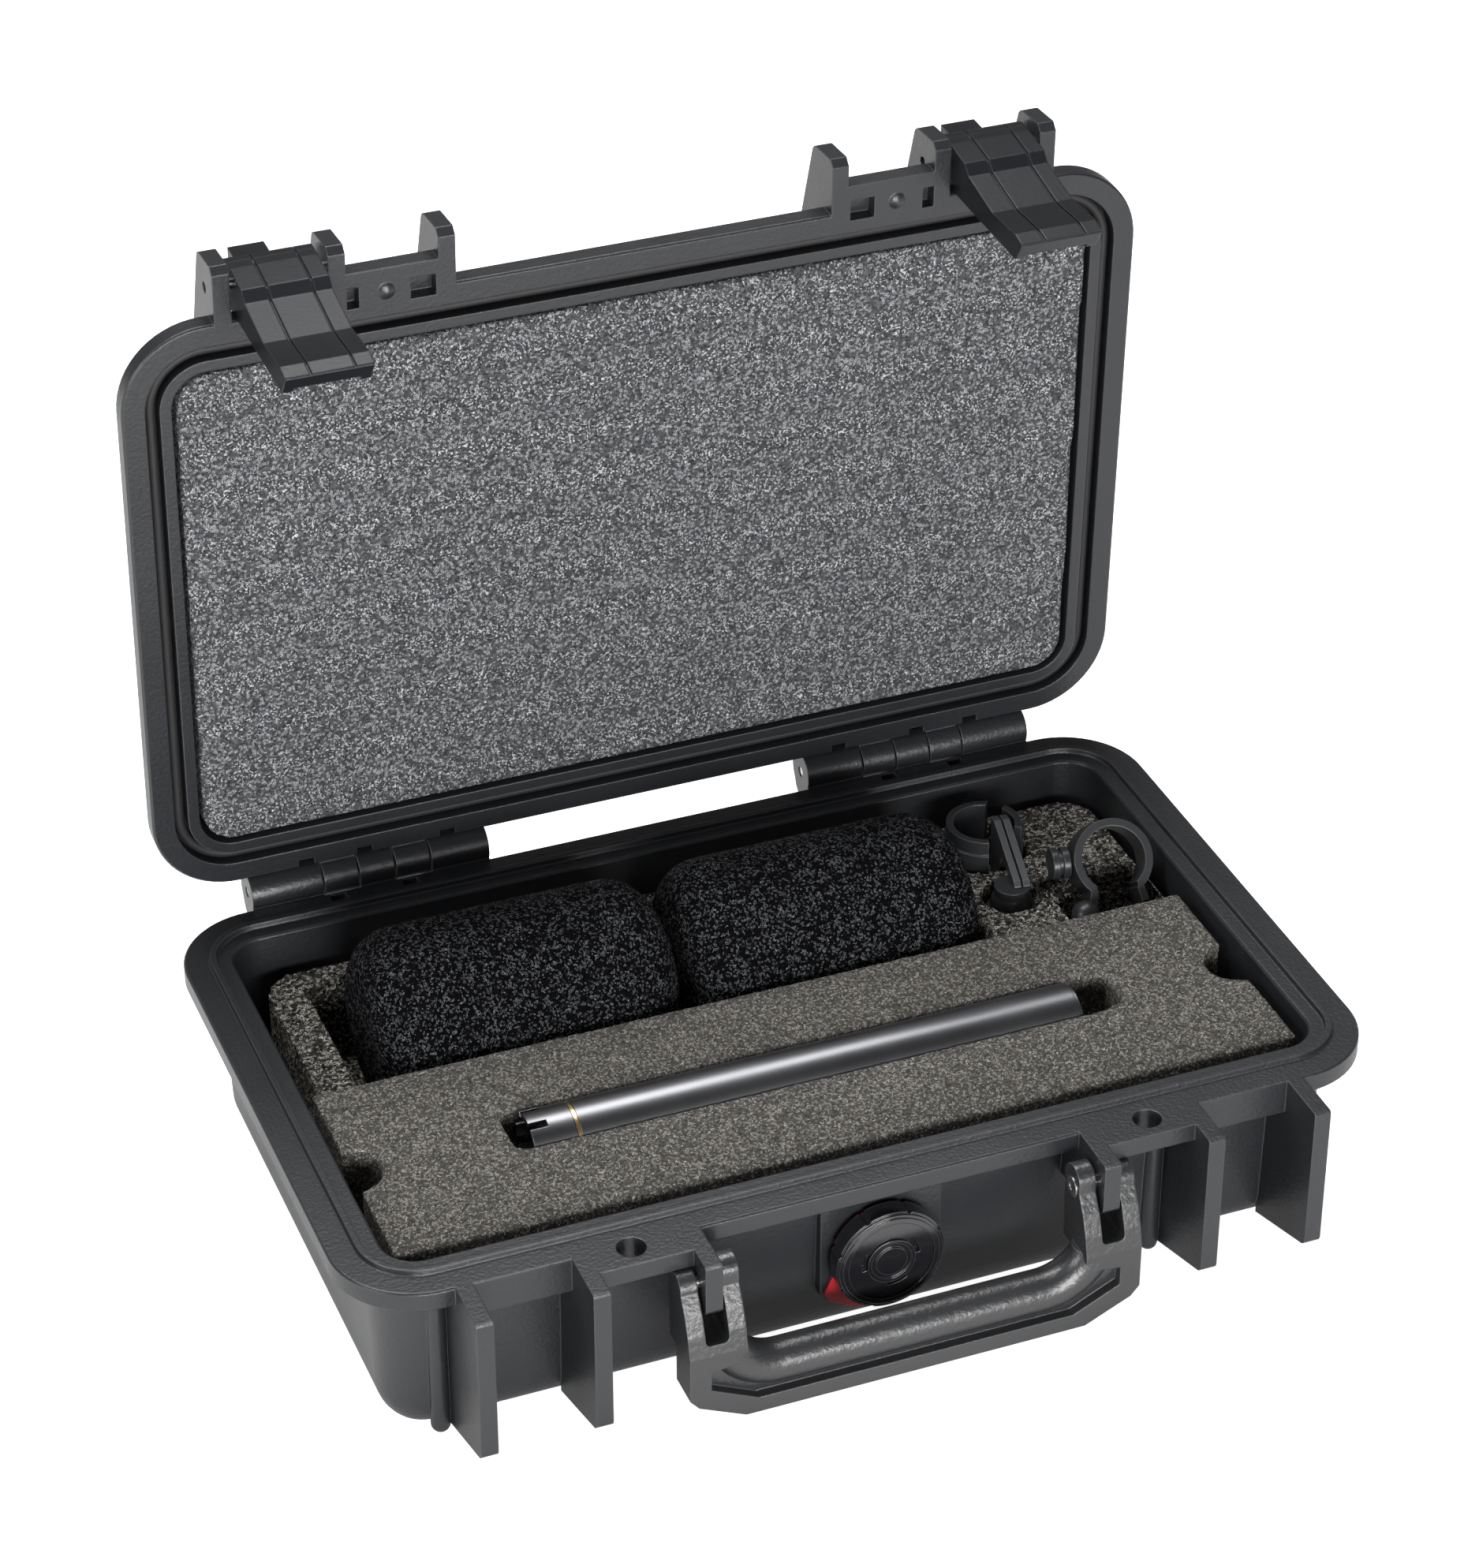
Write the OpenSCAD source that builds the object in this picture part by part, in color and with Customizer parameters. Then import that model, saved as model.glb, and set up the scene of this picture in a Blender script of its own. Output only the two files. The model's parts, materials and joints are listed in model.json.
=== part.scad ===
// Watertight case for a pencil microphone, open, with its kit in cut foam.
// Origin: middle of the underside of the feet. +X to the right, +Y to the hinges, +Z up.
// Everything is in millimetres. The lid and what it carries are drawn shut and then swung open.

/* [Case] */
// Length of the case over the rims
case_l = 296; // [260:1:340]
// Depth of the case over the rims
case_d = 181; // [160:1:200]
// Radius of the rims' outer corners
rim_r = 24; // [18:1:30]
// Height of the parting plane above the table
part_z = 61; // [54:0.5:70]
// Height of the lid's flat top above the parting plane
lid_h = 25.5; // [22:0.5:34]
// How far the rims stand out beyond the walls
rim_over = 9.6; // [8:0.1:11]
// Width of the rims from their edge to the hollow
rim_w = 14; // [13.5:0.1:16]
// Thickness of the base's rim
rim_t = 6.3; // [4:0.1:9]
// Thickness of the base's floor and of the lid's top
wall = 3; // [2.5:0.1:4]
// How much the base narrows on each side from its rim to its bottom
draft = 1.4; // [1:0.1:2]
// Radius of the base's outer bottom edge
bottom_r = 12.5; // [8:0.5:12.5]
// Height of the feet
foot_h = 2.4; // [1.5:0.1:5]
// Width of the foot frame
foot_w = 7; // [5:0.5:10]
// Height of the stacking ridges on the lid
ridge_h = 3.5; // [2:0.5:6]
// Space between the closed rims
part_gap = 0.3; // [0.2:0.05:0.5]
// How far the lid stands open, against its stop
lid_open = 88; // [80:1:95]

/* [Seal] */
// Distance of the seal's centre line inside the rim's edge
seal_in = 8.4; // [7:0.1:10]
// Radius of the seal ring's section
seal_r = 1.5; // [1:0.1:1.8]
// Width of the lip on the base that presses the seal
lip_w = 2.3; // [1.6:0.1:2.6]
// Height of that lip
lip_h = 1.6; // [1:0.1:2]

/* [Front ribs] */
// How far the ribs stand out beyond the rim
rib_out = 16.3; // [14:0.1:20]
// Thickness of the guard ribs
rib_t = 4.8; // [4:0.1:6]
// Middle of the outer guard rib
rib_a = 118.9; // [112:0.1:124]
// Middle of the guard rib next to it
rib_b = 87.3; // [80:0.1:92]
// Middle of the inner rib, which carries the handle
rib_c = 56.7; // [50:0.1:62]
// Height of the ribs' lower end above the table
rib_low = 15.5; // [12:0.5:24]
// How far the padlock shelves stand out beyond the rim
shelf_out = 8; // [6:0.5:11]
// Thickness of the padlock shelves
shelf_t = 5.4; // [4:0.1:7]
// Height of the strike that each latch hooks under
strike_h = 10.5; // [8:0.5:13]
// Distance of the padlock holes from the middle
lock_x = 73.8; // [70:0.1:77]
// Radius of the padlock holes
lock_r = 4; // [3:0.1:5]
// Height of the beads' lower end above the table
bead_z = 8; // [6:0.5:20]
// Radius of the beads on the front wall
bead_r = 2.7; // [2:0.1:3.5]

/* [Hinges] */
// Distance of the hinge axis behind the rim
hinge_out = 6; // [5.8:0.1:7]
// Height of the hinge axis above the parting plane
hinge_up = 2.35; // [2:0.05:3]
// Radius of the knuckles
knuckle_r = 6.2; // [5:0.1:6.3]
// Radius of the hinge pins
hinge_pin_r = 1.6; // [1.2:0.1:2.4]
// Space between neighbouring knuckles
knuckle_gap = 0.4; // [0.3:0.05:0.8]
// Inner end of each hinge, from the middle
hinge_in = 50.1; // [44:0.1:56]
// Length of the innermost knuckle
knuckle_inner = 17.7; // [14:0.1:20]
// Length of each of the three middle knuckles
knuckle_mid = 10.8; // [9:0.1:13]
// Length of the outermost knuckle
knuckle_outer = 21.3; // [16:0.1:24]

/* [Latches] */
// Space between a latch lever and the guard ribs beside it
latch_side = 1.4; // [0.8:0.1:2.5]
// Distance of the latch pin in front of the rim
latch_pin_out = 7; // [6.6:0.1:8]
// Height of the latch pin above the parting plane
latch_pin_up = 8.5; // [8:0.1:10]
// Radius of the lever's knuckle round its pin
latch_knuckle_r = 6.6; // [5:0.1:6.6]
// Radius of the latch pins
latch_pin_r = 1.6; // [1.2:0.1:2]
// Space between the lever's back and the rims
latch_back = 0.4; // [0.3:0.05:0.8]
// Length of the lever below the parting plane
latch_len = 44; // [36:0.5:48]
// Width of the claw
claw_w = 12; // [8:0.5:14]
// Length of the claw from its pin to its tip
claw_len = 6.6; // [5:0.1:8]
// Radius of the claw pin
claw_pin_r = 1; // [0.8:0.1:1.3]

/* [Handle] */
// Distance of the handle pins in front of the rim
grip_pin_out = 8.5; // [8:0.1:10]
// Depth of the handle pins below the parting plane
grip_pin_down = 10.2; // [10:0.1:12]
// Radius of the handle pins
grip_pin_r = 2; // [1.4:0.1:2.2]
// Radius of the eyes round the handle pins
grip_eye_r = 4.5; // [4:0.1:4.6]
// Thickness of each prong of the handle
prong_t = 4.8; // [4:0.1:6]
// Space between a prong and the rib that it straddles
prong_gap = 0.9; // [0.4:0.1:1.5]
// Length of the handle below its pins
grip_len = 41; // [36:0.5:44]
// Height of the bar with its round grip
grip_h = 18.2; // [14:0.1:20]
// Thickness of the handle from front to back
grip_t = 14; // [10:0.5:16]

/* [Valve] */
// Depth of the valve's axis below the parting plane
valve_down = 27.2; // [24:0.1:32]
// Radius of the valve knob
knob_r = 15.6; // [11:0.1:16]
// Thickness of the valve knob
knob_t = 6; // [4:0.1:7]
// Radius of the valve's stem
stem_r = 6; // [4:0.1:8]

/* [Foam] */
// Depth of the rear foam's top below the parting plane
rear_down = 10; // [6:0.5:14]
// Depth of the tray's top below the parting plane
tray_down = 3; // [1:0.5:6]
// Thickness of the lift-out tray
tray_t = 30; // [22:1:36]
// Place of the tray's back face
tray_back = 5.5; // [0:0.5:12]
// Radius of the finger notches at the tray's ends
notch_r = 8.5; // [6:0.5:12]
// Space between foam and what it lies against
foam_gap = 0.3; // [0.2:0.1:1]

/* [Microphone] */
// Length of the microphone
mic_l = 162; // [140:1:200]
// Radius of the microphone
mic_r = 9.5; // [8:0.1:12]
// Depth of the microphone's axis below the tray's top
mic_sunk = 6.3; // [0:0.1:8]
// Place of the microphone's axis from front to back
mic_y = -30.4; // [-40:0.1:-26]
// Length of the slotted head
head_l = 12.5; // [12:0.1:28]

/* [Windscreens and clips] */
// Radius of the windscreens
screen_r = 28; // [22:0.5:28.5]
// Length of each windscreen
screen_l = 89; // [70:1:90]
// Radius of the clips' rings outside
clip_r = 11.8; // [11:0.1:14]
// Thickness of the clips' rings
clip_t = 2.3; // [1.6:0.1:3]
// Width of the clips' rings along the microphone
clip_w = 20; // [14:1:24]

/* [Hidden] */
$fn = 48;

// Corner centres of the rims, and distances outward from them
cx = case_l / 2 - rim_r;
cy = case_d / 2 - rim_r;
wall_u = rim_r - rim_over;
inner_u = rim_r - rim_w;
inner_low = inner_u - draft - 1;
inner_r = 6.5;
front = -case_d / 2;
back = case_d / 2;
rib_front = front - rib_out;
shelf_front = front - shelf_out;
floor_z = foot_h + wall + 0.2;
top_z = part_z + lid_h;
lid_z = part_z + part_gap;
ceiling_z = top_z - wall - 0.5;
lid_draft = 1;
lid_edge_r = 7;
// Seal groove in the lid
seal_u = rim_r - seal_in;
groove_w = 2 * seal_r + 1;
groove_top = lid_z + 5;
seal_z = groove_top - seal_r - 0.1;
// Hinge
hinge_y = back + hinge_out;
hinge_z = part_z + hinge_up;
knuckle_ends = [0, knuckle_inner, knuckle_inner + knuckle_mid, knuckle_inner + 2 * knuckle_mid,
    knuckle_inner + 3 * knuckle_mid, knuckle_inner + 3 * knuckle_mid + knuckle_outer];
// Latches
latch_x = (rib_a + rib_b) / 2;
latch_w = rib_a - rib_b - rib_t - 2 * latch_side;
latch_y = front - latch_pin_out;
latch_z = part_z + latch_pin_up;
latch_back_y = front - latch_back;
claw_y = latch_back_y - 2.5;
claw_half = 2;
claw_z = part_z - strike_h - claw_half - 0.5;
// Handle
grip_y = front - grip_pin_out;
grip_z = part_z - grip_pin_down;
prong_in = rib_c - rib_t / 2 - prong_gap - prong_t;
prong_out = rib_c + rib_t / 2 + prong_gap + prong_t;
eye_up = 2.4;
roll_r = 5.9;
roll_y = grip_y - grip_t + 3.2 + roll_r;
grip_bend = 11;
// Valve
valve_z = part_z - valve_down;
boss_y = front + rim_over - 2.6;
cap_out = knob_r - 3.3;
cap_in = 7;
knob_y = boss_y - 1.9 - knob_t;
// Foams
rear_z = part_z - rear_down;
tray_z = part_z - tray_down;
tray_low = tray_z - tray_t;
tray_x0 = -case_l / 2 + 17.3;
tray_x1 = case_l / 2 - 17.3;
tray_y0 = front + 21;
mic_x0 = -81.5;
slot_x0 = mic_x0 - 5;
slot_x1 = mic_x0 + mic_l + 13;
mic_z = tray_z - mic_sunk;
slot_r = mic_r + foam_gap + 0.1;
screen_y = tray_back + 2 + screen_r;
screen_z = rear_z;
screen_x0 = -107;
screen_gap = 3;
pocket_x0 = screen_x0 - 7.5;
pocket_x1 = screen_x0 + 2 * screen_l + screen_gap + 1.5;
left_clip = [pocket_x1 + clip_r + 4.7, back - 34.5, rear_z];
left_foot = [left_clip[0] - 2, left_clip[1] - 25, rear_z];
right_clip = [case_l / 2 - 30, tray_back + 16.5, rear_z + 11.2];
right_foot = [right_clip[0] - clip_r - 0.6, right_clip[1] - 8.5, rear_z];

// Turns what is drawn shut about the hinge axis to where the lid stands
module on_open_lid() {
    translate([0, hinge_y, hinge_z]) rotate([-lid_open, 0, 0])
        translate([0, -hinge_y, -hinge_z]) children();
}

// Draws its children on the right and mirrors them to the left
module both_sides() {
    children();
    mirror([1, 0, 0]) children();
}

// Sweeps an outline (distance outward from the corner centres, height) round the case
module round_case(x = cx, y = cy) {
    for (sx = [-1, 1], sy = [-1, 1]) {
        a = sx > 0 ? (sy > 0 ? 0 : 270) : (sy > 0 ? 90 : 180);
        translate([sx * x, sy * y, 0]) rotate([0, 0, a]) rotate_extrude(angle = 90, $fn = 96) children();
    }
    for (s = [0, 180]) rotate([0, 0, s]) {
        translate([x, y, 0]) rotate([90, 0, 0]) linear_extrude(2 * y) children();
        translate([-x, y, 0]) rotate([90, 0, 90]) linear_extrude(2 * x) children();
    }
}

// Rounded rectangle from corner to corner
module plan(x0, y0, x1, y1, r) {
    translate([x0 + r, y0]) square([x1 - x0 - 2 * r, y1 - y0]);
    translate([x0, y0 + r]) square([x1 - x0, y1 - y0 - 2 * r]);
    for (x = [x0 + r, x1 - r], y = [y0 + r, y1 - r]) translate([x, y]) circle(r);
}

// Points on an arc
function arc(c, r, a0, a1, n) =
    [for (i = [0 : n]) let (a = a0 + (a1 - a0) * i / n) c + r * [cos(a), sin(a)]];

// Plate standing across the case: an outline of (y, z), t thick, with its middle at x
module rib_plate(x, t, points) {
    translate([x - t / 2, 0, 0]) rotate([90, 0, 90]) linear_extrude(t) polygon(points);
}

// Cylinder along X from x0 to x1
module rod_x(x0, x1, y, z, r) {
    translate([x0, y, z]) rotate([0, 90, 0]) cylinder(r = r, h = x1 - x0);
}

// Cylinder along Y from y0 to y1
module rod_y(y0, y1, x, z, r) {
    translate([x, y1, z]) rotate([90, 0, 0]) cylinder(r = r, h = y1 - y0);
}

// Outline of the base's wall, rim and seal lip
module base_outline() {
    low_u = wall_u - draft;
    outer = concat([[0, foot_h]], arc([low_u - bottom_r, foot_h + bottom_r], bottom_r, -90, 0, 12));
    rim = [[wall_u, part_z - rim_t], [rim_r - 0.8, part_z - rim_t], [rim_r, part_z - rim_t + 0.8],
        [rim_r, part_z - 0.5], [rim_r - 0.5, part_z]];
    lip = [[seal_u + lip_w / 2, part_z], [seal_u + lip_w / 2 - 0.3, part_z + lip_h],
        [seal_u - lip_w / 2 + 0.3, part_z + lip_h], [seal_u - lip_w / 2, part_z]];
    step = [[inner_u + 0.6, part_z], [inner_u, part_z - 0.6]];
    inner = concat(arc([inner_low - inner_r, floor_z + inner_r], inner_r, 0, -90, 8), [[0, floor_z]]);
    polygon(concat(outer, rim, lip, step, inner));
}

// Outline of the lid's wall, rim and seal groove
module lid_outline() {
    top_u = wall_u - lid_draft;
    in_u = inner_u + 0.4;
    rim = [[in_u, lid_z], [seal_u - groove_w / 2, lid_z], [seal_u - groove_w / 2, groove_top],
        [seal_u + groove_w / 2, groove_top], [seal_u + groove_w / 2, lid_z], [rim_r - 0.5, lid_z],
        [rim_r, lid_z + 0.5], [rim_r, lid_z + rim_t - 0.8], [rim_r - 0.8, lid_z + rim_t],
        [wall_u, lid_z + rim_t]];
    outer = arc([top_u - lid_edge_r, top_z - lid_edge_r], lid_edge_r, 0, 90, 8);
    inner = concat([[0, top_z], [0, ceiling_z]], arc([in_u - lid_draft - 3, ceiling_z - 3], 3, 90, 0, 5));
    polygon(concat(rim, outer, inner));
}

// Side view of a base rib, from the wall to the rib's front edge
function base_rib(low, root) = concat([[front + rim_over + 2, part_z], [rib_front + 0.5, part_z],
    [rib_front, part_z - 0.8]], arc([rib_front + 2.5, low + 2.5], 2.5, 180, 250, 4),
    [[front + rim_over + 2.2, root]]);

// One knuckle of the hinge between two distances from its inner end, with its web
module knuckle(i, web, pin_r) {
    x0 = hinge_in + knuckle_ends[i] + (i > 0 ? knuckle_gap / 2 : 0);
    x1 = hinge_in + knuckle_ends[i + 1] - (i < 4 ? knuckle_gap / 2 : 0);
    difference() {
        union() {
            rod_x(x0, x1, hinge_y, hinge_z, knuckle_r);
            rib_plate((x0 + x1) / 2, x1 - x0, web);
        }
        rod_x(x0 - 1, x1 + 1, hinge_y, hinge_z, pin_r);
    }
}

// Side view of the web under a base knuckle
base_web = [[back - 3, part_z - rim_t - 4], [back - 3, part_z - 0.2], [back - 0.1, part_z - 0.2],
    [hinge_y - 4.4, hinge_z - 2], [hinge_y, hinge_z], [hinge_y + 6, hinge_z - 1.6],
    [hinge_y + 3.4, hinge_z - 7], [back - 1, part_z - rim_t - 8], [back - rim_over - 1, part_z - rim_t - 12],
    [back - rim_over - 1, part_z - rim_t - 4]];
// Side view of the web above a lid knuckle
lid_web = [[back - 3, lid_z + 0.2], [back - 0.2, lid_z + 0.2], [hinge_y - 5.4, hinge_z - 0.6],
    [hinge_y, hinge_z], [hinge_y + 5.4, hinge_z + 3], [hinge_y + 1, hinge_z + knuckle_r], [back - 1, lid_z + rim_t + 0.8],
    [back - 3, lid_z + rim_t]];

// Pocket beside the knuckles: dx is its distance from a knuckle's end
module hinge_window(i, dx, z0, z1) {
    translate([hinge_in + knuckle_ends[i] + dx, back - 2.6, z0]) cube([4.6, 4, z1 - z0]);
}

module base_shell() {
    color("dimgray") difference() {
        union() {
            round_case() base_outline();
            translate([-cx, -cy, foot_h]) cube([2 * cx, 2 * cy, floor_z - foot_h]);
            both_sides() {
                base_fittings();
                for (i = [0, 2, 4]) knuckle(i, base_web, hinge_pin_r + 0.02);
            }
            valve_boss();
            foot_frame();
        }
        both_sides() base_holes();
        rod_y(front, front + 30, 0, valve_z, stem_r + 0.1);
    }
}

// Ribs, strike, shelf and beads on the right half of the base
module base_fittings() {
    for (x = [rib_a, rib_b]) rib_plate(x, rib_t, base_rib(rib_low, rib_low - 8.5));
    rib_plate(rib_c, rib_t, base_rib(grip_z - 6.5, grip_z - 11));
    translate([rib_b, front + 0.01, part_z - strike_h]) cube([rib_a - rib_b, rim_over + 2, strike_h]);
    translate([rib_c, shelf_front, part_z - shelf_t])
        cube([rib_b - rib_c, shelf_out + rim_over + 2, shelf_t]);
    for (x = [rib_a + rib_t / 2 + bead_r - 0.3, rib_b - rib_t / 2 - bead_r + 0.3])
        translate([x, front + rim_over + 1, bead_z]) cylinder(r = bead_r, h = part_z - rim_t + 1 - bead_z);
    for (x = [rib_a + rib_t / 2 + bead_r - 0.3, rib_b - rib_t / 2 - bead_r + 0.3])
        translate([x, front + rim_over + 1, bead_z]) sphere(r = bead_r);
}

// Foot frame under the base, which the stacking ridges of a case below fit inside
module foot_frame() {
    x = rib_a - 2;
    y = cy - 10;
    linear_extrude(foot_h + 0.5) difference() {
        plan(-x, -y, x, y, 12);
        plan(-x + foot_w, -y + foot_w, x - foot_w, y - foot_w, 12 - foot_w);
    }
}

// Flat boss on the front wall behind the valve
module valve_boss() {
    translate([0, front + rim_over + 4, valve_z]) rotate([90, 0, 0])
        linear_extrude(front + rim_over + 4 - boss_y)
            plan(-knob_r - 1.8, -knob_r - 0.3, knob_r + 1.8, 20, 4);
}

// Holes on the right half of the base
module base_holes() {
    translate([lock_x, front - 1.1, part_z - 12]) cylinder(r = lock_r, h = 20);
    rod_x(rib_c - 10, rib_c + 10, grip_y, grip_z, grip_pin_r + 0.02);
    for (i = [1, 3]) rod_x(hinge_in + knuckle_ends[i] - 0.01, hinge_in + knuckle_ends[i + 1] + 0.01,
        hinge_y, hinge_z, knuckle_r + 0.4);
    for (i = [1, 3]) translate([hinge_in + knuckle_ends[i] + 5, back - 4.4, part_z - 2]) cube([4.6, 3, 3]);
}

module lid_shell() {
    color("dimgray") on_open_lid() difference() {
        union() {
            round_case() lid_outline();
            translate([-cx, -cy, ceiling_z]) cube([2 * cx, 2 * cy, top_z - ceiling_z]);
            both_sides() {
                lid_fittings();
                for (i = [1, 3]) knuckle(i, lid_web, hinge_pin_r + 0.06);
            }
        }
        both_sides() lid_holes();
    }
}

// Side view of a lid rib, from the rim to the lid's top
lid_rib = concat([[front + 2, lid_z], [rib_front + 2, lid_z], [rib_front, lid_z + 2]],
    arc([rib_front + 4.3, lid_z + 11.5], 3.5, 180, 115, 4), [[front + rim_over + 2, top_z - 3],
    [front + rim_over + 2, lid_z + rim_t - 0.3], [front + 2, lid_z + rim_t - 0.3]]);

// Ribs, shelf and ridge on the right half of the lid
module lid_fittings() {
    for (x = [rib_a, rib_b, rib_c]) rib_plate(x, rib_t, lid_rib);
    translate([rib_c, shelf_front, lid_z]) cube([rib_b - rib_c, shelf_out + 2, shelf_t]);
    translate([lock_x, front - 1.1, lid_z + 2.6]) sphere(r = lock_r - 0.4);
    translate([0, 0, top_z - 0.5]) linear_extrude(ridge_h + 0.5)
        plan(rib_b + 2, front + rim_over + 9, rib_a - 2, back - rim_over - 9, 5);
}

// Pockets and holes on the right half of the lid
module lid_holes() {
    rod_x(rib_b - 10, rib_a + 10, latch_y, latch_z, latch_pin_r + 0.02);
    for (p = [[rib_c + 3.2, 7.2], [rib_b - 5.8, 3.4]])
        translate([p[0], front - 3.6, lid_z - 1]) cube([p[1], 6.2, shelf_t - 0.2]);
    for (i = [0, 2, 4]) rod_x(hinge_in + knuckle_ends[i] - 0.3, hinge_in + knuckle_ends[i + 1] + 0.3,
        hinge_y, hinge_z, knuckle_r + 0.4);
    hinge_window(0, 9, lid_z - 1, lid_z + 3);
    hinge_window(2, 5.6, lid_z - 1, lid_z + 3);
    hinge_window(4, 1.4, lid_z - 1, lid_z + 3);
}

module lid_seal() {
    color("black") on_open_lid() round_case() translate([seal_u, seal_z]) circle(seal_r);
}

module hinge_pin(side) {
    color("silver") rod_x(side > 0 ? hinge_in + 0.3 : -hinge_in - knuckle_ends[5] + 0.3,
        side > 0 ? hinge_in + knuckle_ends[5] - 0.3 : -hinge_in - 0.3, hinge_y, hinge_z, hinge_pin_r);
}
module hinge_pin_left() { hinge_pin(-1); }
module hinge_pin_right() { hinge_pin(1); }

// Side view of the lever: knuckle, stepped face and finger end; inset draws the bottom of its grooves
function lever_face(inset) = let (low = part_z - latch_len) [
    [latch_back_y, latch_z - 1], [latch_back_y, latch_z + 1], [latch_y, latch_z + 3],
    [latch_y - latch_knuckle_r + inset, latch_z + 1], [latch_y - latch_knuckle_r + 0.2 + inset, latch_z - 4],
    [latch_y - 5.2 + inset, part_z - 5.4], [latch_y - 2.6 + inset, part_z - 8.4],
    [latch_y + 0.4 + inset, part_z - 24.8], [latch_y - 0.6 + inset, low + 4.6], [latch_y + 0.3 + inset, low],
    [latch_back_y, low + 3.4]];

// Latch lever with its middle at x, drawn shut
module lever(x) {
    x0 = x - latch_w / 2;
    seam_a = x0 + 7;
    seam_b = x0 + latch_w - 5;
    difference() {
        union() {
            rod_x(x0, x0 + latch_w, latch_y, latch_z, latch_knuckle_r - 0.5);
            rib_plate(x, latch_w, lever_face(0.7));
            for (s = [[x0, seam_a - 0.35], [seam_a + 0.35, seam_b - 0.3], [seam_b + 0.3, x0 + latch_w]]) {
                rib_plate((s[0] + s[1]) / 2, s[1] - s[0], lever_face(0));
                rod_x(s[0], s[1], latch_y, latch_z, latch_knuckle_r);
            }
            translate([x0 + 3, latch_y - 5.6, latch_z + 3]) cube([10, 5, 6]);
        }
        rod_x(x0 - 1, x0 + latch_w + 1, latch_y, latch_z, latch_pin_r + 0.06);
        translate([x - claw_w / 2 - 0.4, claw_y - 2.6, claw_z - claw_len - 1.4])
            cube([claw_w + 0.8, 10, claw_len + 5]);
        rod_x(x - claw_w / 2 - 4, x + claw_w / 2 + 4, claw_y, claw_z, claw_pin_r + 0.02);
        finger_hollow(x);
    }
}

// Hollow under the lever's end, where a finger pulls
module finger_hollow(x) {
    rod_x(x - latch_w / 2 + 3, x + latch_w / 2 - 3, latch_back_y + 1.2, part_z - latch_len + 7, 5);
}

module latch_lever_left() { color("dimgray") on_open_lid() lever(-latch_x); }
module latch_lever_right() { color("dimgray") on_open_lid() lever(latch_x); }

// Pin of a latch, from rib to rib
module latch_pin(side) {
    color("silver") on_open_lid()
        rod_x(side * latch_x - (rib_a - rib_b) / 2 - 1.6, side * latch_x + (rib_a - rib_b) / 2 + 1.6,
            latch_y, latch_z, latch_pin_r);
}
module latch_pin_left() { latch_pin(-1); }
module latch_pin_right() { latch_pin(1); }

// Claw that swings out of the lever to catch under the strike, drawn hanging in its pocket
module claw(x) {
    difference() {
        union() {
            rod_x(x - claw_w / 2, x + claw_w / 2, claw_y, claw_z, claw_half);
            rib_plate(x, claw_w, [[claw_y - claw_half, claw_z], [claw_y + claw_half, claw_z],
                [claw_y + claw_half, claw_z - claw_len + 1.5], [claw_y + claw_half - 1.5, claw_z - claw_len],
                [claw_y - 0.5, claw_z - claw_len]]);
        }
        rod_x(x - claw_w, x + claw_w, claw_y, claw_z, claw_pin_r + 0.05);
    }
}
module latch_claw_left() { color("dimgray") on_open_lid() claw(-latch_x); }
module latch_claw_right() { color("dimgray") on_open_lid() claw(latch_x); }

module claw_pin(side) {
    color("silver") on_open_lid()
        rod_x(side * latch_x - claw_w / 2 - 3, side * latch_x + claw_w / 2 + 3, claw_y, claw_z, claw_pin_r);
}
module claw_pin_left() { claw_pin(-1); }
module claw_pin_right() { claw_pin(1); }

// Front view of the handle's outer edge
module handle_edge() {
    low = grip_z - grip_len;
    polygon([[-prong_out, grip_z + 12], [-prong_out, low + 10.5], [-prong_out + 2.5, low + 7.5],
        [-prong_out + 17, low + 0.6], [-prong_out + 20, low], [prong_out - 20, low],
        [prong_out - 17, low + 0.6], [prong_out - 2.5, low + 7.5], [prong_out, low + 10.5],
        [prong_out, grip_z + 12]]);
}

// Round grip along the top of the bar, bent up into the arms at both ends
module handle_roll() {
    top = grip_z - grip_len + grip_h;
    both_sides() intersection() {
        translate([prong_in - grip_bend, roll_y, top + grip_bend]) rotate([90, 0, 0])
            rotate_extrude() translate([grip_bend + roll_r, 0]) circle(roll_r);
        translate([prong_in - grip_bend - 0.01, roll_y - 20, top - 20]) cube([40, 40, grip_bend + 15]);
    }
    rod_x(-prong_in + grip_bend, prong_in - grip_bend, roll_y, top - roll_r, roll_r);
}

// A front view stood up in the handle's plane, from y0 back to y1
module upright(y0, y1) {
    translate([0, y1, 0]) rotate([90, 0, 0]) linear_extrude(y1 - y0) children();
}

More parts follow.
